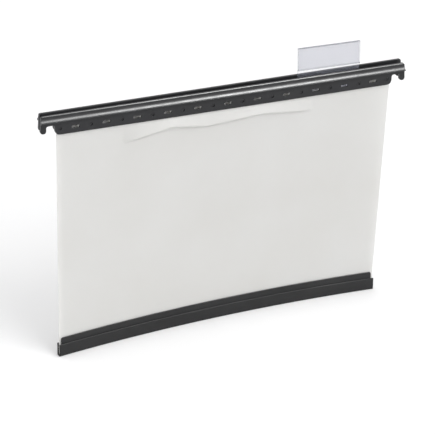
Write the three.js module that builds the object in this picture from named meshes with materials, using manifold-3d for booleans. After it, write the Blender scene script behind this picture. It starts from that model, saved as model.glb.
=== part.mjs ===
// A4 suspension file: two black hanger rails with hook ends, two frosted film panels pinned to
// them, a black base channel that grips the films' lower hems, and a clear index tab with a card.
//
// Millimetres. +X runs along the rails, +Z is up, and the file's front faces -Y.
// The origin is the middle of the bounding box's floor. The file stands on its base, which is
// bowed towards the back and turned a little from the rails, so the films are gently twisted.

import * as THREE from 'three';
import { mergeVertices } from 'three/addons/utils/BufferGeometryUtils.js';
import Module from 'manifold-3d';

const wasm = await Module();
wasm.setup();

// ---- Driving dimensions -------------------------------------------------------------------

const GAP = 0.3; // left between pieces that touch in the real file
const OVERRUN = 1; // how far a cutting tool runs past the face it cuts
const CURVE_SEGMENTS = 5; // straight pieces that each rounded corner is made of

// Hanger rail. Depths are measured back from its front face, heights down from its top.
const RAIL_TOP_Z = 230;
const NOTCH_SPACING = 330; // from the middle of one hook notch to the middle of the other
const NOTCH_WIDTH = 8;
const NOTCH_ROOF = 9.4;
const NOTCH_CORNER = 2.2;
const TOOTH_WIDTH = 5.2;
const TOOTH_TIP = 16;
const TOOTH_SPLAY = 0.6; // the tooth's outer edge leans out by this much at its tip
const RAIL_CORNER = 2;
const HOOK_WALL = 1.3; // stiff wall between a notch and the film
const BEAM_DEPTH = 2.8;
const BEAM_HEIGHT = 8.6;
const TOP_CHAMFER = 0.5;
const COVE_FOOT = 5.8;
const COVE_TURN = 5; // down to here the cove falls straight before it swings out
const LEDGE_REACH = 2.5; // how far the ledge under the cove stands out
const LEDGE_LIP = 0.7;
const LEDGE_UNDERCUT = 7.3;
const FLANGE_DEPTH = 1.3;
const FLANGE_FOOT = 18.4;
const FLANGE_CORNER = 5;

// Slots for the index tab, and the holes of the pins that carry the film.
const SLOT_COUNT = 11;
const PIN_COUNT = SLOT_COUNT + 1;
const SLOT_PITCH = 28.45;
const SLOT_LENGTH = 7.4;
const SLOT_HEIGHT = 2.4;
const HOLE_LINE = 13; // slots and pins are this far below the rail's top
const PIN_HOLE_RADIUS = 1.45;
const PIN_RADIUS = PIN_HOLE_RADIUS - GAP;
const PIN_HEAD_RADIUS = 2.1;
const PIN_RECESS = 0.5; // the pin's end lies below the flange's face
const PIN_SIDES = 14;

// Films
const FRONT_FILM_WIDTH = 319;
const REAR_FILM_WIDTH = 313;
const FILM_THICKNESS = 0.4;
const FILM_TOP = 9; // below the rail's top
const FILM_COLUMNS = 20;
const FILM_ROWS = 8;

// Base channel. Depths are measured back from its front face.
const BASE_LENGTH = 320;
const BASE_WALL = 0.8;
const BASE_FLOOR = 1.2;
const BASE_WALL_HEIGHT = 11.5;
const BASE_EDGE_RADIUS = 0.6;
const STRIP_THICKNESS = 1;
const STRIP_TOP = 17.8;
const STRIP_END_SET_BACK = 2.2;
const STRIP_CORNER = 2.6;
const STRIP_SHOULDER = 0.4; // the slope starts this far above the wall
const STRIP_CROWN = 0.6; // width of the strip's round top
const BASE_STEPS = 20;

// How the standing file lies.
const FRONT_RAIL_Y = -11.01; // front face of the front rail
const REAR_RAIL_DISTANCE = 8.4; // from that face to the rear rail's outer face, at the middle
const REAR_RAIL_YAW = THREE.MathUtils.degToRad(0.56);
const REAR_LIFT = 1.5; // the rear rail and its film stand this much higher than the front ones
const BASE_SET_BACK = 7.2; // the base's ends behind the front rail's face, on average
const BASE_YAW = THREE.MathUtils.degToRad(3);
const BASE_BOW = 9.6; // the base's middle lies this far behind the line between its ends
const FLEX_Z = 18; // height at which the films bend when the file opens

// Index tab. It stands in two neighbouring slots of the front rail.
const TAB_SLOT_OFFSET = 3.5; // tab's middle, in slot pitches right of the rail's middle
const TAB_WIDTH = 60;
const TAB_WALL = 0.6;
const SLEEVE_FOOT = 5.5; // above the rail's top
const SLEEVE_HEIGHT = 20.6;
const CARD_THICKNESS = 0.5;
const CARD_MARGIN = 0.6; // between the card's edges and the sleeve's
const CARD_CORNER = 1;
const WEB_FOOT = 8.6; // below the rail's top; only the two legs go lower
const LEG_WIDTH = 6.4;
const TOE_HEIGHT = 1.6;
const TAB_LEAN = THREE.MathUtils.degToRad(3);
const TAB_YAW = THREE.MathUtils.degToRad(-1.5);

// ---- Derived dimensions -------------------------------------------------------------------

const NOTCH_INNER = (NOTCH_SPACING - NOTCH_WIDTH) / 2;
const NOTCH_OUTER = (NOTCH_SPACING + NOTCH_WIDTH) / 2;
const RAIL_HALF = NOTCH_OUTER + TOOTH_WIDTH - TOOTH_SPLAY;
const FILM_DEPTH = FLANGE_DEPTH + GAP; // front face of a film, behind its rail's front face
const STRIP_DEPTH = BASE_WALL + GAP;
const HEM_DEPTH = STRIP_DEPTH + STRIP_THICKNESS + GAP;
const BASE_DEPTH = 2 * (HEM_DEPTH + FILM_THICKNESS) + GAP;
const SLEEVE_FRONT = -(TAB_WALL + 2 * GAP + CARD_THICKNESS); // its back is flush with the web's
const TAB_SET_BACK = BEAM_DEPTH + GAP + (TAB_WIDTH / 2) * Math.sin(Math.abs(TAB_YAW));

// ---- Materials ----------------------------------------------------------------------------

const blackPlastic = () =>
  new THREE.MeshStandardMaterial({ color: 0x2b2c2e, roughness: 0.42, flatShading: true });

const frostedFilm = () =>
  new THREE.MeshStandardMaterial({
    color: 0xdedddb, roughness: 0.55, transparent: true, opacity: 0.85, flatShading: true,
  });

const clearPlastic = () =>
  new THREE.MeshStandardMaterial({
    color: 0xe6e8f2, roughness: 0.15, transparent: true, opacity: 0.5, flatShading: true,
  });

const whiteCard = () =>
  new THREE.MeshStandardMaterial({ color: 0xf6f6f8, roughness: 0.8, flatShading: true });

// ---- Solids -------------------------------------------------------------------------------

function toSolid(geometry) {
  const bare = geometry.clone();
  bare.deleteAttribute('normal');
  bare.deleteAttribute('uv');
  const merged = mergeVertices(bare);
  return new wasm.Manifold(new wasm.Mesh({
    numProp: 3,
    vertProperties: merged.attributes.position.array,
    triVerts: Uint32Array.from(merged.index.array),
  }));
}

function toGeometry(solid) {
  const { vertProperties, triVerts } = solid.getMesh();
  const geometry = new THREE.BufferGeometry();
  geometry.setAttribute('position', new THREE.BufferAttribute(vertProperties, 3));
  geometry.setIndex(new THREE.BufferAttribute(triVerts, 1));
  return geometry;
}

function cutAway(solid, tools) {
  return tools.reduce((rest, tool) => rest.subtract(toSolid(tool)), solid);
}

// A section drawn in Y and Z, run along X and centred on X = 0.
function alongX(section, length, steps = 1) {
  const geometry = new THREE.ExtrudeGeometry(section, {
    depth: length, steps, bevelEnabled: false, curveSegments: CURVE_SEGMENTS + 1,
  });
  const axes = new THREE.Matrix4().makeBasis(
    new THREE.Vector3(0, 1, 0), new THREE.Vector3(0, 0, 1), new THREE.Vector3(1, 0, 0),
  );
  return geometry.applyMatrix4(axes).translate(-length / 2, 0, 0);
}

// An outline drawn in X and Z, with its front face at Y = front.
function alongY(outline, front, thickness) {
  const geometry = new THREE.ExtrudeGeometry(outline, {
    depth: thickness, bevelEnabled: false, curveSegments: CURVE_SEGMENTS,
  });
  return geometry.rotateX(Math.PI / 2).translate(0, front + thickness, 0);
}

function block(x0, x1, y0, y1, z0, z1) {
  return new THREE.BoxGeometry(x1 - x0, y1 - y0, z1 - z0)
    .translate((x0 + x1) / 2, (y0 + y1) / 2, (z0 + z1) / 2);
}

function polygon(points) {
  return new THREE.Shape(points.map(([a, b]) => new THREE.Vector2(a, b)));
}

// Moves each vertex along Y by shift(x, z).
function bend(geometry, shift) {
  const position = geometry.attributes.position;
  for (let i = 0; i < position.count; i += 1) {
    position.setY(i, position.getY(i) + shift(position.getX(i), position.getZ(i)));
  }
  return geometry;
}

function part(name, geometry, material) {
  const mesh = new THREE.Mesh(geometry, material);
  mesh.name = name;
  return mesh;
}

// ---- Slots and pin holes ------------------------------------------------------------------

function spread(count) {
  return Array.from({ length: count }, (_, i) => (i - (count - 1) / 2) * SLOT_PITCH);
}

const slotPlaces = () => spread(SLOT_COUNT);
const pinPlaces = () => spread(PIN_COUNT);

function slotPath(x, margin) {
  const radius = SLOT_HEIGHT / 2 + margin;
  const straight = (SLOT_LENGTH - SLOT_HEIGHT) / 2;
  const path = new THREE.Path();
  path.absarc(x + straight, -HOLE_LINE, radius, -Math.PI / 2, Math.PI / 2, false);
  path.absarc(x - straight, -HOLE_LINE, radius, Math.PI / 2, 1.5 * Math.PI, false);
  path.closePath();
  return path;
}

function slotTool(x, margin, front, thickness) {
  return alongY(new THREE.Shape(slotPath(x, margin).getPoints(CURVE_SEGMENTS)), front, thickness);
}

function pinHoleTool(x, radius, front, thickness) {
  return new THREE.CylinderGeometry(radius, radius, thickness, PIN_SIDES)
    .translate(x, front + thickness / 2, -HOLE_LINE);
}

// ---- Hanger rail --------------------------------------------------------------------------

// The rail's section: a beam with a cove and a ledge in front, over a thin flange.
function railSection() {
  const section = new THREE.Shape();
  section.moveTo(TOP_CHAMFER, 0);
  section.lineTo(0, -TOP_CHAMFER);
  section.quadraticCurveTo(0, -COVE_TURN, -LEDGE_REACH, -COVE_FOOT);
  section.lineTo(-LEDGE_REACH, -COVE_FOOT - LEDGE_LIP);
  section.lineTo(0, -LEDGE_UNDERCUT);
  section.lineTo(0, -FLANGE_FOOT);
  section.lineTo(FLANGE_DEPTH, -FLANGE_FOOT);
  section.lineTo(FLANGE_DEPTH, -BEAM_HEIGHT);
  section.lineTo(BEAM_DEPTH, -BEAM_HEIGHT);
  section.lineTo(BEAM_DEPTH, 0);
  section.closePath();
  return section;
}

// One end of the rail's outline, from its top corner round the hook and the notch to the
// flange's foot. side is -1 for the left end and 1 for the right.
function hookOutline(path, side) {
  const x = (value) => side * value;
  const tipOuter = RAIL_HALF + TOOTH_SPLAY;
  const tipRadius = TOOTH_WIDTH / 2;
  path.lineTo(x(RAIL_HALF - RAIL_CORNER), 0);
  path.quadraticCurveTo(x(RAIL_HALF), 0, x(RAIL_HALF), -RAIL_CORNER);
  path.lineTo(x(tipOuter), tipRadius - TOOTH_TIP);
  path.quadraticCurveTo(x(tipOuter), -TOOTH_TIP, x(tipOuter - tipRadius), -TOOTH_TIP);
  path.quadraticCurveTo(x(NOTCH_OUTER), -TOOTH_TIP, x(NOTCH_OUTER), tipRadius - TOOTH_TIP);
  path.lineTo(x(NOTCH_OUTER), -NOTCH_ROOF - NOTCH_CORNER);
  path.quadraticCurveTo(x(NOTCH_OUTER), -NOTCH_ROOF, x(NOTCH_OUTER - NOTCH_CORNER), -NOTCH_ROOF);
  path.lineTo(x(NOTCH_INNER + NOTCH_CORNER), -NOTCH_ROOF);
  path.quadraticCurveTo(x(NOTCH_INNER), -NOTCH_ROOF, x(NOTCH_INNER), -NOTCH_ROOF - NOTCH_CORNER);
  path.lineTo(x(NOTCH_INNER), FLANGE_CORNER - FLANGE_FOOT);
  path.quadraticCurveTo(x(NOTCH_INNER), -FLANGE_FOOT, x(NOTCH_INNER - FLANGE_CORNER), -FLANGE_FOOT);
}

// The right half, then the left half read backwards, as one closed outline.
function railOutline() {
  const right = new THREE.Path();
  right.moveTo(0, 0);
  hookOutline(right, 1);
  const left = new THREE.Path();
  left.moveTo(0, 0);
  hookOutline(left, -1);
  const leftPoints = left.getPoints(CURVE_SEGMENTS).reverse().slice(0, -1);
  return new THREE.Shape([...right.getPoints(CURVE_SEGMENTS), ...leftPoints]);
}

// The hook ends are as thick as the beam, so that the notch bears on a wide edge.
function hookBlock(side) {
  const inner = side * (NOTCH_INNER - HOOK_WALL);
  const outer = side * (RAIL_HALF + TOOTH_SPLAY);
  return block(
    Math.min(inner, outer), Math.max(inner, outer), 0, BEAM_DEPTH, -FLANGE_FOOT, -TOP_CHAMFER,
  );
}

function railGeometry() {
  const length = 2 * (RAIL_HALF + TOOTH_SPLAY);
  const front = -LEDGE_REACH - OVERRUN;
  const thickness = BEAM_DEPTH - front + OVERRUN;
  const bar = toSolid(alongX(railSection(), length))
    .add(toSolid(hookBlock(-1)))
    .add(toSolid(hookBlock(1)));
  const outlined = bar.intersect(toSolid(alongY(railOutline(), front, thickness)));
  const slots = slotPlaces().map((x) => slotTool(x, 0, front, thickness));
  const holes = pinPlaces().map((x) => pinHoleTool(x, PIN_HOLE_RADIUS, front, thickness));
  return toGeometry(cutAway(outlined, [...slots, ...holes]));
}

// A push-in pin: its wide head holds the film against the flange from behind.
function pinGeometry() {
  const headFront = FILM_DEPTH + FILM_THICKNESS + GAP;
  const profile = [
    [0, PIN_RECESS],
    [PIN_RADIUS, PIN_RECESS],
    [PIN_RADIUS, headFront],
    [PIN_HEAD_RADIUS, headFront],
    [PIN_HEAD_RADIUS, BEAM_DEPTH],
    [0, BEAM_DEPTH],
  ];
  return new THREE.LatheGeometry(profile.map(([r, y]) => new THREE.Vector2(r, y)), PIN_SIDES);
}

// A rail with its pins, in the rail's own frame: origin at the middle of the top front edge.
function rail(side) {
  const group = new THREE.Group();
  group.add(part(`${side}_rail`, railGeometry(), blackPlastic()));
  pinPlaces().forEach((x, i) => {
    const number = String(i + 1).padStart(2, '0');
    const pin = part(`${side}_film_pin_${number}`, pinGeometry(), blackPlastic());
    pin.position.set(x, 0, -HOLE_LINE);
    group.add(pin);
  });
  return group;
}

// ---- Where the films and the base lie -----------------------------------------------------

const frontRailFace = () => FRONT_RAIL_Y;

function rearRailFace(x) {
  return FRONT_RAIL_Y + REAR_RAIL_DISTANCE + x * Math.tan(REAR_RAIL_YAW);
}

// Front face of the base channel at x.
function baseFace(x) {
  const across = x / (BASE_LENGTH / 2);
  const bow = BASE_BOW * (1 - across * across);
  return FRONT_RAIL_Y + BASE_SET_BACK + x * Math.tan(BASE_YAW) + bow;
}

// ---- Films --------------------------------------------------------------------------------

// A film hangs straight behind its rail's flange, then runs down to its place in the base.
// lift raises it with its rail, topFace(x) is its middle at the rail, and baseOffset its middle
// behind the base's front face.
function filmGeometry({ width, lift, topFace, baseOffset }) {
  const railTop = RAIL_TOP_Z + lift;
  const top = railTop - FILM_TOP;
  const foot = FLEX_Z + GAP / 2;
  const flangeFoot = railTop - FLANGE_FOOT;
  const sheet = new THREE.BoxGeometry(
    width, FILM_THICKNESS, flangeFoot - foot, FILM_COLUMNS, 1, FILM_ROWS,
  ).translate(0, 0, (flangeFoot + foot) / 2);
  const margin = new THREE.BoxGeometry(
    width, FILM_THICKNESS, top - flangeFoot, FILM_COLUMNS, 1, 1,
  ).translate(0, 0, (top + flangeFoot) / 2);
  const lie = (x, z) => {
    const fall = THREE.MathUtils.clamp((flangeFoot - z) / (flangeFoot - foot), 0, 1);
    return THREE.MathUtils.lerp(topFace(x), baseFace(x) + baseOffset, fall);
  };
  const film = toSolid(bend(sheet, lie)).add(toSolid(bend(margin, lie)));
  const front = topFace(0) - BEAM_DEPTH;
  const thickness = 2 * BEAM_DEPTH;
  const tools = [
    ...slotPlaces().map((x) => slotTool(x, GAP, front, thickness)),
    ...pinPlaces().map((x) => pinHoleTool(x, PIN_HOLE_RADIUS, front, thickness)),
  ];
  return toGeometry(cutAway(film, tools.map((tool) => tool.translate(0, 0, railTop))));
}

// The hem is the film's lowest part, below the line where it flexes, gripped in the base.
function hemGeometry({ width, lift, baseOffset }) {
  const foot = BASE_FLOOR + GAP + lift;
  const top = FLEX_Z - GAP / 2;
  const hem = new THREE.BoxGeometry(
    width, FILM_THICKNESS, top - foot, FILM_COLUMNS, 1, 1,
  ).translate(0, baseOffset, (top + foot) / 2);
  return bend(hem, baseFace);
}

function film(side, lie) {
  return [
    part(`${side}_film`, filmGeometry(lie), frostedFilm()),
    part(`${side}_film_hem`, hemGeometry(lie), frostedFilm()),
  ];
}

function films() {
  const topMiddle = FILM_DEPTH + FILM_THICKNESS / 2;
  const baseMiddle = HEM_DEPTH + FILM_THICKNESS / 2;
  return [
    ...film('front', {
      width: FRONT_FILM_WIDTH,
      lift: 0,
      topFace: () => frontRailFace() + topMiddle,
      baseOffset: baseMiddle,
    }),
    ...film('rear', {
      width: REAR_FILM_WIDTH,
      lift: REAR_LIFT,
      topFace: (x) => rearRailFace(x) - topMiddle,
      baseOffset: BASE_DEPTH - baseMiddle,
    }),
  ];
}

// ---- Base ---------------------------------------------------------------------------------

// A narrow channel, open at the top, with its two lower edges taken off.
function channelSection() {
  return polygon([
    [0, BASE_EDGE_RADIUS],
    [BASE_EDGE_RADIUS, 0],
    [BASE_DEPTH - BASE_EDGE_RADIUS, 0],
    [BASE_DEPTH, BASE_EDGE_RADIUS],
    [BASE_DEPTH, BASE_WALL_HEIGHT],
    [BASE_DEPTH - BASE_WALL, BASE_WALL_HEIGHT],
    [BASE_DEPTH - BASE_WALL, BASE_FLOOR],
    [BASE_WALL, BASE_FLOOR],
    [BASE_WALL, BASE_WALL_HEIGHT],
    [0, BASE_WALL_HEIGHT],
  ]);
}

// The strip that wedges a hem against the other film's. Above the wall it slopes back to a round top.
function stripSection() {
  const shoulder = STRIP_TOP - STRIP_CROWN / 2;
  return polygon([
    [0, BASE_FLOOR + GAP],
    [STRIP_THICKNESS, BASE_FLOOR + GAP],
    [STRIP_THICKNESS, shoulder],
    [STRIP_THICKNESS - STRIP_CROWN / 2, STRIP_TOP],
    [STRIP_THICKNESS - STRIP_CROWN, shoulder],
    [0, BASE_WALL_HEIGHT + STRIP_SHOULDER],
  ]);
}

function stripOutline() {
  const half = BASE_LENGTH / 2 - STRIP_END_SET_BACK;
  const outline = new THREE.Shape();
  outline.moveTo(-half, 0);
  outline.lineTo(half, 0);
  outline.lineTo(half, STRIP_TOP - STRIP_CORNER);
  outline.quadraticCurveTo(half, STRIP_TOP, half - STRIP_CORNER, STRIP_TOP);
  outline.lineTo(STRIP_CORNER - half, STRIP_TOP);
  outline.quadraticCurveTo(-half, STRIP_TOP, -half, STRIP_TOP - STRIP_CORNER);
  outline.closePath();
  return outline;
}

// facing is 1 for the front strip, whose slope faces -Y, and -1 for the rear one.
function stripGeometry(facing) {
  const bar = alongX(stripSection(), BASE_LENGTH, BASE_STEPS);
  const outline = alongY(stripOutline(), -OVERRUN, STRIP_THICKNESS + 2 * OVERRUN);
  const strip = toGeometry(toSolid(bar).intersect(toSolid(outline)));
  if (facing < 0) {
    strip.rotateZ(Math.PI);
  }
  const depth = facing > 0 ? STRIP_DEPTH : BASE_DEPTH - STRIP_DEPTH;
  return bend(strip.translate(0, depth, 0), baseFace);
}

function base() {
  const channel = alongX(channelSection(), BASE_LENGTH, BASE_STEPS);
  return [
    part('base_channel', bend(channel, baseFace), blackPlastic()),
    part('front_hem_strip', stripGeometry(1), blackPlastic()),
    part('rear_hem_strip', stripGeometry(-1), blackPlastic()),
  ];
}

// ---- Index tab ----------------------------------------------------------------------------

// The holder's section: a flat sleeve, open at both ends, on a web that reaches down.
// Depths are measured back from the web's front face, heights from the rail's top.
function holderSection() {
  const section = polygon([
    [0, -HOLE_LINE - TOE_HEIGHT / 2],
    [TAB_WALL, -HOLE_LINE - TOE_HEIGHT / 2],
    [TAB_WALL, SLEEVE_FOOT + SLEEVE_HEIGHT],
    [SLEEVE_FRONT, SLEEVE_FOOT + SLEEVE_HEIGHT],
    [SLEEVE_FRONT, SLEEVE_FOOT],
    [0, SLEEVE_FOOT],
  ]);
  const inside = new THREE.Path([
    [SLEEVE_FRONT + TAB_WALL, SLEEVE_FOOT + TAB_WALL],
    [SLEEVE_FRONT + TAB_WALL, SLEEVE_FOOT + SLEEVE_HEIGHT - TAB_WALL],
    [0, SLEEVE_FOOT + SLEEVE_HEIGHT - TAB_WALL],
    [0, SLEEVE_FOOT + TAB_WALL],
  ].map(([y, z]) => new THREE.Vector2(y, z)));
  section.holes.push(inside);
  return section;
}

// Each leg ends in a toe that points forwards through the film into the rail's slot.
function toe(x) {
  const reach = TAB_SET_BACK - PIN_RECESS;
  return block(
    x - LEG_WIDTH / 2, x + LEG_WIDTH / 2, -reach, TAB_WALL,
    -HOLE_LINE - TOE_HEIGHT / 2, -HOLE_LINE + TOE_HEIGHT / 2,
  );
}

function holderGeometry() {
  const half = TAB_WIDTH / 2;
  const legInner = SLOT_PITCH / 2 - LEG_WIDTH / 2;
  const legOuter = SLOT_PITCH / 2 + LEG_WIDTH / 2;
  const low = -HOLE_LINE - TOE_HEIGHT;
  const cutLeg = (x0, x1) => block(x0, x1, -OVERRUN, TAB_WALL + OVERRUN, low, -WEB_FOOT);
  const body = cutAway(toSolid(alongX(holderSection(), TAB_WIDTH)), [
    cutLeg(-half - OVERRUN, -legOuter),
    cutLeg(-legInner, legInner),
    cutLeg(legOuter, half + OVERRUN),
  ]);
  return toGeometry(
    body.add(toSolid(toe(-SLOT_PITCH / 2))).add(toSolid(toe(SLOT_PITCH / 2))),
  );
}

function cardGeometry() {
  const half = TAB_WIDTH / 2 - CARD_MARGIN;
  const foot = SLEEVE_FOOT + TAB_WALL + GAP;
  const top = SLEEVE_FOOT + SLEEVE_HEIGHT - TAB_WALL - GAP;
  const outline = new THREE.Shape();
  outline.moveTo(-half, foot);
  outline.lineTo(half, foot);
  outline.lineTo(half, top - CARD_CORNER);
  outline.quadraticCurveTo(half, top, half - CARD_CORNER, top);
  outline.lineTo(CARD_CORNER - half, top);
  outline.quadraticCurveTo(-half, top, -half, top - CARD_CORNER);
  outline.closePath();
  return alongY(outline, SLEEVE_FRONT + TAB_WALL + GAP, CARD_THICKNESS);
}

function indexTab() {
  const tab = new THREE.Group();
  tab.add(part('tab_holder', holderGeometry(), clearPlastic()));
  tab.add(part('label_card', cardGeometry(), whiteCard()));
  return tab;
}

// ---- Assembly -----------------------------------------------------------------------------

function suspensionFile() {
  const file = new THREE.Group();

  const frontRail = rail('front');
  frontRail.position.set(0, FRONT_RAIL_Y, RAIL_TOP_Z);
  file.add(frontRail);

  // The rear rail is the same moulding turned round.
  const rearRail = rail('rear');
  rearRail.position.set(0, FRONT_RAIL_Y + REAR_RAIL_DISTANCE, RAIL_TOP_Z + REAR_LIFT);
  rearRail.rotation.z = Math.PI + REAR_RAIL_YAW;
  file.add(rearRail);

  // The tab turns and leans about its toes.
  const tab = indexTab();
  tab.position.z = HOLE_LINE;
  const tabPivot = new THREE.Group();
  tabPivot.add(tab);
  tabPivot.rotation.set(-TAB_LEAN, 0, TAB_YAW, 'ZXY');
  tabPivot.position.set(
    TAB_SLOT_OFFSET * SLOT_PITCH, FRONT_RAIL_Y + TAB_SET_BACK, RAIL_TOP_Z - HOLE_LINE,
  );
  file.add(tabPivot);

  file.add(...films(), ...base());
  return file;
}

export default suspensionFile();
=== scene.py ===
"""The looks of an A4 suspension file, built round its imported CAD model.

Metres, in the CAD's frame: +X runs along the rails, +Z is up and the file's front faces -Y.
The moulded and extruded pieces are the CAD nodes themselves, with their edges rounded and a
finish of their own. Each film is made here as one flexible sheet, which stands for the CAD's
film panel and its hem and bends between the base and its rail.
"""

import math
from typing import Callable, NamedTuple

import bmesh
import bpy
import numpy as np
from mathutils import Matrix, Vector

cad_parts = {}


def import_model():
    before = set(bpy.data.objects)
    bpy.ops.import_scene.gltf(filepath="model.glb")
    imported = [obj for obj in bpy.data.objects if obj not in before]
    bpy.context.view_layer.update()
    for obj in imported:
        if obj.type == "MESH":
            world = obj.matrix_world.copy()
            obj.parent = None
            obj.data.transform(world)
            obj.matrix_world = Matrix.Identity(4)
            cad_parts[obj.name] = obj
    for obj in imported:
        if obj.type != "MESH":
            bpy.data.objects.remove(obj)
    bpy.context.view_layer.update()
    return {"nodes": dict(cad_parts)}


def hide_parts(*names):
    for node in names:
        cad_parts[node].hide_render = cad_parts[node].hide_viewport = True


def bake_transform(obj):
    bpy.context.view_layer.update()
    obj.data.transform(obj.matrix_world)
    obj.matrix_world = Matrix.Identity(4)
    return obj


# ---- Camera ---------------------------------------------------------------------------------

CAMERA_AZIMUTH = math.radians(24.62)  # the camera stands to the left of the file's front
CAMERA_ELEVATION = math.radians(24)
CAMERA_ROLL = math.radians(1)
CAMERA_DISTANCE = 2.187
CAMERA_LENS = 203.6
CAMERA_SHIFT = (-0.0205, -0.0317)
SENSOR_WIDTH = 36
AIM_HEIGHT = 0.121

# ---- Lights ---------------------------------------------------------------------------------

SKY_STRENGTH = 0.91
SUN_PLACE = (0.75, -1.65, 1.75)  # only its direction from SUN_AIM matters
SUN_AIM = (0, 0, 0.12)
SUN_STRENGTH = 0.95
SUN_ANGLE = math.radians(40)  # a wide sun throws a soft shadow
STRIP_PLACE = (0.47, -0.65, 1.09)
STRIP_SIZE = (0.12, 1.05)
STRIP_POWER = 60

# ---- How the films lie, as in the CAD --------------------------------------------------------

FRONT_FILM_WIDTH = 0.319
REAR_FILM_WIDTH = 0.313
FILM_THICKNESS = 0.0004
FILM_TOP = 0.221
FILM_FOOT = 0.0015
FLANGE_FOOT = 0.2116
HOLE_LINE = 0.217
REAR_LIFT = 0.0015  # the rear rail and film stand this much higher than the front ones
FLEX_HEIGHT = 0.018
FRONT_RAIL_FACE = -0.01101
REAR_RAIL_FACE = -0.00261
REAR_RAIL_YAW = math.radians(0.56)
FILM_BEHIND_FACE = 0.0018  # from a rail's outer face to the middle of its film
BASE_FACE = -0.00381
BASE_YAW = math.radians(3)
BASE_BOW = 0.0096
BASE_HALF = 0.160
FRONT_HEM_DEPTH = 0.0026  # from the base's front face to the middle of the front hem
REAR_HEM_DEPTH = 0.0033
KINK = 0.006  # height over which the film's bends at the rail and the base are eased

# The films' holes are a little larger than the rails' slots.
SLOT_COUNT = 11
SLOT_PITCH = 0.02845
SLOT_LENGTH = 0.008
SLOT_HEIGHT = 0.003
PIN_HOLE_RADIUS = 0.00145
PLUG_DEPTH = 0.006  # length of the plugs that cut the holes

FILM_COLUMNS = 214
FINE_ROW = 0.0008  # from the film's top down past the buckle
FINE_SPAN = 0.034
COARSE_ROW = 0.003  # from there down to BEND_ROWS_TOP
BEND_ROWS_TOP = 0.030
BEND_ROW = 0.0015

# The front film's buckle under the rail. Its crease turns at these places along X, and runs this
# far below the flange there.
CREASE_TURNS = (-0.098, -0.053, -0.019, 0.034, 0.084)
CREASE_DROP = (0.0165, 0.0080, 0.0122, 0.0085, 0.0130)
CREASE_SWELL = 0.0037  # how far the film stands forward at the crease
CREASE_FADE = 0.013  # length over which the swell dies away at each end
CREASE_FALL = 0.0034  # height over which the film returns below the crease

# ---- Edges of the CAD pieces -----------------------------------------------------------------

RAIL_EDGE = 0.00022
PIN_EDGE = 0.00015
BASE_EDGE = 0.0002
HOLDER_EDGE = 0.00012
MERGE_DISTANCE = 0.000004
SMOOTH_ANGLE = math.radians(28)  # gentler turns than this are shaded as smooth
BEVEL_ANGLE = math.radians(40)

# ---- Materials ------------------------------------------------------------------------------


def new_material(name):
    material = bpy.data.materials.new(name)
    material.use_nodes = True
    material.node_tree.nodes.clear()
    return material, material.node_tree


def add(tree, kind, inputs=None, **settings):
    """Adds a node. inputs are the values of its sockets, or the outputs that feed them."""
    made = tree.nodes.new(kind)
    for name, value in settings.items():
        setattr(made, name, value)
    for name, value in (inputs or {}).items():
        if isinstance(value, bpy.types.NodeSocket):
            tree.links.new(value, made.inputs[name])
        else:
            made.inputs[name].default_value = value
    return made


def place(tree, stretch=(1, 1, 1)):
    """The point on the piece in metres, scaled by stretch."""
    where = add(tree, "ShaderNodeTexCoord").outputs["Object"]
    return add(tree, "ShaderNodeMapping", {"Vector": where, "Scale": stretch}).outputs["Vector"]


def noise(tree, where, scale, detail=3, roughness=0.5):
    """Fractal noise. scale is in features a metre."""
    inputs = {"Vector": where, "Scale": scale, "Detail": detail, "Roughness": roughness}
    return add(tree, "ShaderNodeTexNoise", inputs).outputs["Fac"]


def spread(tree, value, low, high):
    """Maps the noise's middle range to low..high."""
    inputs = {"Value": value, "From Min": 0.3, "From Max": 0.7, "To Min": low, "To Max": high}
    return add(tree, "ShaderNodeMapRange", inputs).outputs["Result"]


def two_colours(tree, value, dark, light):
    made = add(tree, "ShaderNodeMix", {"Factor": value}, data_type="RGBA")
    made.inputs[6].default_value = (*dark, 1)
    made.inputs[7].default_value = (*light, 1)
    return made.outputs[2]


def bump(tree, height, depth, strength=1.0, normal=None):
    """A relief of the given depth in metres."""
    made = add(tree, "ShaderNodeBump", {"Height": height, "Distance": depth, "Strength": strength})
    if normal is not None:
        tree.links.new(normal, made.inputs["Normal"])
    return made.outputs["Normal"]


def output(tree, shader):
    add(tree, "ShaderNodeOutputMaterial", {"Surface": shader})


def moulded_black():
    """Injection-moulded black plastic: an even fine grain and a satin sheen."""
    material, tree = new_material("moulded_black")
    where = place(tree)
    cloud = noise(tree, where, 45)
    grain = noise(tree, where, 2600, detail=2)
    colour = two_colours(tree, spread(tree, cloud, 0, 1), (0.010, 0.0103, 0.0116), (0.016, 0.0165, 0.0186))
    roughness = spread(tree, noise(tree, where, 130), 0.33, 0.41)
    relief = bump(tree, grain, 0.00003)
    shader = add(tree, "ShaderNodeBsdfPrincipled", {
        "Base Color": colour, "Roughness": roughness, "Normal": relief, "IOR": 1.45,
        "Specular IOR Level": 0.4,
    })
    output(tree, shader.outputs["BSDF"])
    return material


def extruded_black():
    """Extruded black plastic: faint drawn lines along its length over a matt grain."""
    material, tree = new_material("extruded_black")
    lines = noise(tree, place(tree, (0.012, 1, 1)), 900, detail=4)
    grain = noise(tree, place(tree), 1900, detail=2)
    cloud = noise(tree, place(tree, (0.3, 1, 1)), 60)
    colour = two_colours(tree, spread(tree, cloud, 0, 1), (0.007, 0.007, 0.0075), (0.012, 0.012, 0.0127))
    roughness = spread(tree, lines, 0.38, 0.52)
    relief = bump(tree, grain, 0.00002, normal=bump(tree, lines, 0.00004))
    shader = add(tree, "ShaderNodeBsdfPrincipled", {
        "Base Color": colour, "Roughness": roughness, "Normal": relief, "IOR": 1.45,
        "Specular IOR Level": 0.4,
    })
    output(tree, shader.outputs["BSDF"])
    return material


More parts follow.
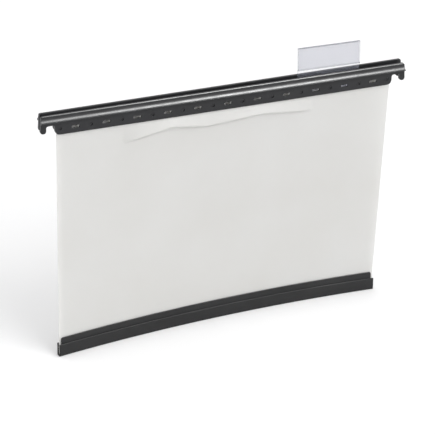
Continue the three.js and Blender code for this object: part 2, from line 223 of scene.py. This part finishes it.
def frosted_film():
    """Frosted film: it scatters the light behind it as well as the light in front."""
    material, tree = new_material("frosted_film")
    haze = noise(tree, place(tree), 14, detail=4)
    streaks = noise(tree, place(tree, (1, 1, 0.03)), 260, detail=3)
    frost = noise(tree, place(tree), 3200, detail=3)
    colour = two_colours(tree, spread(tree, haze, 0, 1), (0.810, 0.805, 0.787), (0.835, 0.833, 0.821))
    relief = bump(tree, frost, 0.00002, normal=bump(tree, streaks, 0.00003))
    front = add(tree, "ShaderNodeBsdfPrincipled", {
        "Base Color": colour, "Roughness": spread(tree, streaks, 0.42, 0.52), "Normal": relief,
        "IOR": 1.49,
    })
    through = add(tree, "ShaderNodeBsdfTranslucent", {"Color": colour, "Normal": relief})
    clear = add(tree, "ShaderNodeBsdfTransparent", {"Color": (0.95, 0.95, 0.94, 1)})
    scattered = add(tree, "ShaderNodeMixShader", {"Fac": 0.34})
    tree.links.new(front.outputs["BSDF"], scattered.inputs[1])
    tree.links.new(through.outputs["BSDF"], scattered.inputs[2])
    mixed = add(tree, "ShaderNodeMixShader", {"Fac": 0.05})
    tree.links.new(scattered.outputs["Shader"], mixed.inputs[1])
    tree.links.new(clear.outputs["BSDF"], mixed.inputs[2])
    output(tree, mixed.outputs["Shader"])
    return material


def clear_plastic():
    """Clear plastic with a cool tint: see-through on its faces; painted shade makes its cut edges darker
    and less clear.
    """
    material, tree = new_material("clear_plastic")
    ripple = noise(tree, place(tree), 70, detail=2)
    normal = add(tree, "ShaderNodeNewGeometry").outputs["Normal"]
    depthwise = add(tree, "ShaderNodeSeparateXYZ", {"Vector": normal}).outputs["Y"]
    facing = add(tree, "ShaderNodeMath", {0: depthwise}, operation="ABSOLUTE").outputs[0]
    # Painted shade: faces whose normals turn away from Y (the cut edges) get more opacity, standing in for
    # the light bent through the plastic's thickness.
    edge_shade_alpha = add(tree, "ShaderNodeMapRange", {
        "Value": facing, "From Min": 0.3, "From Max": 0.95, "To Min": 0.8, "To Max": 0.10,
    }).outputs["Result"]
    # Painted shade on the cut edges: a dark colour there, the cool tint on the broad faces.
    colour = two_colours(tree, facing, (0.16, 0.17, 0.21), (0.52, 0.54, 0.64))
    shader = add(tree, "ShaderNodeBsdfPrincipled", {
        "Base Color": colour, "Roughness": spread(tree, ripple, 0.06, 0.13),
        "Normal": bump(tree, ripple, 0.00004), "IOR": 1.49, "Alpha": edge_shade_alpha,
    })
    output(tree, shader.outputs["BSDF"])
    return material


def white_card():
    """Smooth card with a faint fibre and a cool white."""
    material, tree = new_material("white_card")
    fibre = noise(tree, place(tree, (1, 1, 2.4)), 1300, detail=5, roughness=0.65)
    colour = two_colours(tree, spread(tree, fibre, 0, 1), (0.655, 0.655, 0.675), (0.695, 0.695, 0.712))
    shader = add(tree, "ShaderNodeBsdfPrincipled", {
        "Base Color": colour, "Roughness": spread(tree, fibre, 0.62, 0.8),
        "Normal": bump(tree, fibre, 0.00003), "IOR": 1.45,
    })
    output(tree, shader.outputs["BSDF"])
    return material


def pale_floor():
    material, tree = new_material("pale_floor")
    cloud = noise(tree, place(tree), 3)
    colour = two_colours(tree, spread(tree, cloud, 0, 1), (0.925, 0.925, 0.93), (0.94, 0.94, 0.945))
    shader = add(tree, "ShaderNodeBsdfPrincipled", {"Base Color": colour, "Roughness": 0.9})
    output(tree, shader.outputs["BSDF"])
    return material


# ---- CAD pieces -----------------------------------------------------------------------------


def rounded_finish():
    """A modifier tree that joins a CAD node's faces and shades its gentle turns as smooth."""
    group = bpy.data.node_groups.new("cad_finish", "GeometryNodeTree")
    group.interface.new_socket("Geometry", in_out="INPUT", socket_type="NodeSocketGeometry")
    group.interface.new_socket("Geometry", in_out="OUTPUT", socket_type="NodeSocketGeometry")
    start = group.nodes.new("NodeGroupInput").outputs[0]
    joined = add(group, "GeometryNodeMergeByDistance", {"Geometry": start, "Distance": MERGE_DISTANCE})
    bare = add(group, "GeometryNodeRemoveAttribute", {
        "Geometry": joined.outputs[0], "Name": "custom_normal",
    })
    smooth = add(group, "GeometryNodeSetShadeSmooth", {"Geometry": bare.outputs[0]}, domain="FACE")
    soft_edges = add(group, "GeometryNodeSetShadeSmooth", {
        "Geometry": smooth.outputs[0], "Shade Smooth": True,
    }, domain="EDGE")
    angle = add(group, "GeometryNodeInputMeshEdgeAngle").outputs["Unsigned Angle"]
    turned = add(group, "ShaderNodeMath", {0: angle, 1: SMOOTH_ANGLE}, operation="GREATER_THAN")
    sharp = add(group, "GeometryNodeSetShadeSmooth", {
        "Geometry": soft_edges.outputs[0], "Selection": turned.outputs[0], "Shade Smooth": False,
    }, domain="EDGE")
    add(group, "NodeGroupOutput", {0: sharp.outputs[0]})
    return group


def finish_cad(piece, material, finish, edge):
    """Gives a CAD node its material and rounds its edges by edge metres."""
    piece.data.materials.clear()
    piece.data.materials.append(material)
    piece.modifiers.new("finish", "NODES").node_group = finish
    if edge:
        bevel = piece.modifiers.new("edges", "BEVEL")
        bevel.width = edge
        bevel.segments = 2
        bevel.limit_method = "ANGLE"
        bevel.angle_limit = BEVEL_ANGLE
        bevel.harden_normals = True


# ---- Films ----------------------------------------------------------------------------------


def base_face(x):
    """The base's front face, bowed towards the back and turned a little."""
    return BASE_FACE + x * math.tan(BASE_YAW) + BASE_BOW * (1 - (x / BASE_HALF) ** 2)


def front_top(x):
    """The front film's middle at its rail. 0 * x gives it the shape of x, a number or an array."""
    return FRONT_RAIL_FACE + FILM_BEHIND_FACE + 0 * x


def rear_top(x):
    """The rear film's middle at its rail, which is turned a little."""
    return REAR_RAIL_FACE + x * math.tan(REAR_RAIL_YAW) - FILM_BEHIND_FACE


def eased(t, ease):
    """t held between 0 and 1, with the two corners eased."""
    low = np.logaddexp(0, t / ease) * ease
    return low - np.logaddexp(0, (low - 1) / ease) * ease


def buckle(x, z):
    """How far the front film swells forwards between the rail's flange and its crease."""
    drop = np.interp(x, CREASE_TURNS, CREASE_DROP)
    to_end = np.minimum(x - CREASE_TURNS[0], CREASE_TURNS[-1] - x)
    swell = CREASE_SWELL * np.clip(to_end / CREASE_FADE, 0, 1)
    below = FLANGE_FOOT - z
    rise = np.clip(below / drop, 0, 1)
    fall = np.clip((below - drop) / CREASE_FALL, 0, 1)
    return swell * rise * (1 - fall * fall * (3 - 2 * fall))


def no_swell(x, z):
    """The rear film has no buckle."""
    return 0 * x


class Lie(NamedTuple):
    """How one film lies. rail_line(x) is its middle at the rail, swell(x, z) its buckle."""

    panel: str
    width: float
    lift: float
    rail_line: Callable
    hem_depth: float
    swell: Callable


FRONT_LIE = Lie("front_panel", FRONT_FILM_WIDTH, 0, front_top, FRONT_HEM_DEPTH, buckle)
REAR_LIE = Lie("rear_panel", REAR_FILM_WIDTH, REAR_LIFT, rear_top, REAR_HEM_DEPTH, no_swell)


def film_surface(lie, x, z):
    """The film's Y: straight down behind the flange, then slanting to its place in the base."""
    flange_foot = FLANGE_FOOT + lie.lift
    fall = (flange_foot - z) / (flange_foot - FLEX_HEIGHT)
    share = eased(fall, KINK / 6 / (flange_foot - FLEX_HEIGHT))
    return lie.rail_line(x) * (1 - share) + (base_face(x) + lie.hem_depth) * share - lie.swell(x, z)


def rows_of(top, foot):
    """Row heights: fine near the rail, where the film buckles, and at the bend."""
    fine = np.arange(top, top - FINE_SPAN, -FINE_ROW)
    coarse = np.arange(fine[-1] - COARSE_ROW, BEND_ROWS_TOP, -COARSE_ROW)
    bend = np.arange(coarse[-1] - BEND_ROW, foot, -BEND_ROW)
    return np.concatenate([fine, coarse, bend, [foot]])


def sheet_mesh(name, columns, rows, lie):
    """The film as a grid of rows and columns, with its thickness."""
    x, z = np.meshgrid(columns, rows)
    points = np.stack([x, film_surface(lie, x, z), z], axis=-1).reshape(-1, 3)
    across = len(columns)
    corner = np.arange(across * (len(rows) - 1)).reshape(-1, across)[:, :-1].reshape(-1)
    faces = np.stack([corner, corner + across, corner + across + 1, corner + 1], axis=-1)
    mesh = bpy.data.meshes.new(name)
    mesh.from_pydata(points.tolist(), [], faces.tolist())
    piece = bpy.data.objects.new(name, mesh)
    bpy.context.scene.collection.objects.link(piece)
    thick = piece.modifiers.new("thickness", "SOLIDIFY")
    thick.thickness = FILM_THICKNESS
    thick.offset = 0
    return piece


def hole_places(count):
    return [(i - (count - 1) / 2) * SLOT_PITCH for i in range(count)]


def slot_plug(cutter, at):
    """A plug with round ends, for one slot. It runs along Y."""
    size = Matrix.Diagonal((SLOT_LENGTH, PLUG_DEPTH, SLOT_HEIGHT, 1))
    made = bmesh.ops.create_cube(cutter, size=1, matrix=at @ size)
    edges = {edge for vert in made["verts"] for edge in vert.link_edges}
    along_y = [e for e in edges if abs((e.verts[0].co - e.verts[1].co).y) > PLUG_DEPTH / 2]
    radius = SLOT_HEIGHT * 0.49
    bmesh.ops.bevel(cutter, geom=along_y, offset=radius, segments=4, affect="EDGES")


def pin_plug(cutter, at):
    bmesh.ops.create_cone(
        cutter, cap_ends=True, segments=20, radius1=PIN_HOLE_RADIUS, radius2=PIN_HOLE_RADIUS,
        depth=PLUG_DEPTH, matrix=at @ Matrix.Rotation(math.pi / 2, 4, "X"),
    )


def hole_cutter(lie):
    """One mesh with a plug for each slot and pin hole along a film's rail."""
    cutter = bmesh.new()
    height = HOLE_LINE + lie.lift
    for x in hole_places(SLOT_COUNT):
        slot_plug(cutter, Matrix.Translation((x, lie.rail_line(x), height)))
    for x in hole_places(SLOT_COUNT + 1):
        pin_plug(cutter, Matrix.Translation((x, lie.rail_line(x), height)))
    mesh = bpy.data.meshes.new("hole_cutter")
    cutter.to_mesh(mesh)
    cutter.free()
    piece = bpy.data.objects.new("hole_cutter", mesh)
    bpy.context.scene.collection.objects.link(piece)
    return piece


def apply_modifiers(piece):
    graph = bpy.context.evaluated_depsgraph_get()
    final = bpy.data.meshes.new_from_object(piece.evaluated_get(graph))
    piece.modifiers.clear()
    piece.data = final


def punch(piece, cutter):
    cut = piece.modifiers.new("holes", "BOOLEAN")
    cut.operation = "DIFFERENCE"
    cut.solver = "EXACT"
    cut.object = cutter
    apply_modifiers(piece)
    bpy.data.objects.remove(cutter)


def film(name, lie, material):
    """One film from its rail down into the base, as one sheet bent to lie between them."""
    columns = np.linspace(-lie.width / 2, lie.width / 2, FILM_COLUMNS)
    rows = rows_of(FILM_TOP + lie.lift, FILM_FOOT + lie.lift)
    sheet = sheet_mesh(name, columns, rows, lie)
    punch(sheet, hole_cutter(lie))
    sheet.data.shade_smooth()
    sheet.data.set_sharp_from_angle(angle=BEVEL_ANGLE)
    sheet.data.materials.clear()
    sheet.data.materials.append(material)
    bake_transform(sheet)
    return sheet


# ---- Stage ----------------------------------------------------------------------------------


def floor():
    bpy.ops.mesh.primitive_plane_add(size=60, location=(0, 0, 0))
    ground = bpy.context.object
    ground.name = "floor"
    ground.data.materials.append(pale_floor())


def aim_at(obj, target):
    obj.rotation_euler = (Vector(target) - obj.location).to_track_quat("-Z", "Y").to_euler()


def lamp(name, kind, location, target, energy):
    data = bpy.data.lights.new(name, kind)
    data.energy = energy
    light = bpy.data.objects.new(name, data)
    light.location = location
    bpy.context.scene.collection.objects.link(light)
    aim_at(light, target)
    return light


def soft_sun():
    """A broad, distant light from the front and the right. It throws the shadow back and left."""
    sun = lamp("soft_sun", "SUN", SUN_PLACE, SUN_AIM, SUN_STRENGTH)
    sun.data.angle = SUN_ANGLE


def strip_light():
    """A long strip that shows only as a sheen: it lights the rails' coves and top edges."""
    strip = lamp("strip_light", "AREA", STRIP_PLACE, (STRIP_PLACE[0], 0, FLANGE_FOOT), STRIP_POWER)
    strip.data.shape = "RECTANGLE"
    strip.data.size, strip.data.size_y = STRIP_SIZE
    strip.visible_diffuse = False


def studio():
    scene = bpy.context.scene
    world = bpy.data.worlds.new("studio")
    world.use_nodes = True
    sky = world.node_tree.nodes["Background"]
    sky.inputs["Color"].default_value = (1, 1, 1, 1)
    sky.inputs["Strength"].default_value = SKY_STRENGTH
    scene.world = world
    scene.view_settings.view_transform = "Standard"
    scene.view_settings.look = "None"
    soft_sun()
    strip_light()


def camera():
    aim = Vector((0, FRONT_RAIL_FACE, AIM_HEIGHT))
    level = math.cos(CAMERA_ELEVATION)
    forward = Vector((
        math.sin(CAMERA_AZIMUTH) * level,
        math.cos(CAMERA_AZIMUTH) * level,
        -math.sin(CAMERA_ELEVATION),
    ))
    data = bpy.data.cameras.new("camera")
    data.sensor_width = SENSOR_WIDTH
    data.lens = CAMERA_LENS
    data.shift_x, data.shift_y = CAMERA_SHIFT
    data.dof.use_dof = False
    data.clip_end = 100
    eye = bpy.data.objects.new("camera", data)
    turn = forward.to_track_quat("-Z", "Y").to_matrix().to_4x4()
    roll = Matrix.Rotation(CAMERA_ROLL, 4, "Z")
    eye.matrix_world = Matrix.Translation(aim - forward * CAMERA_DISTANCE) @ turn @ roll
    bpy.context.scene.collection.objects.link(eye)
    bpy.context.scene.camera = eye


# ---- Build ----------------------------------------------------------------------------------


def build():
    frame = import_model()
    camera()
    studio()
    floor()

    finish = rounded_finish()
    rail_black = moulded_black()
    base_black = extruded_black()
    for name, piece in frame["nodes"].items():
        if name in ("front_rail", "rear_rail"):
            finish_cad(piece, rail_black, finish, RAIL_EDGE)
        elif "_pin_" in name:
            finish_cad(piece, rail_black, finish, PIN_EDGE)
        elif name in ("base_channel", "front_hem_strip", "rear_hem_strip"):
            finish_cad(piece, base_black, finish, BASE_EDGE)
        elif name == "tab_holder":
            finish_cad(piece, clear_plastic(), finish, HOLDER_EDGE)
        elif name == "label_card":
            finish_cad(piece, white_card(), finish, 0)

    film_finish = frosted_film()
    front = film("front_sheet", FRONT_LIE, film_finish)
    rear = film("rear_sheet", REAR_LIE, film_finish)
    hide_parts("front_film", "front_film_hem")
    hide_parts("rear_film", "rear_film_hem")


build()
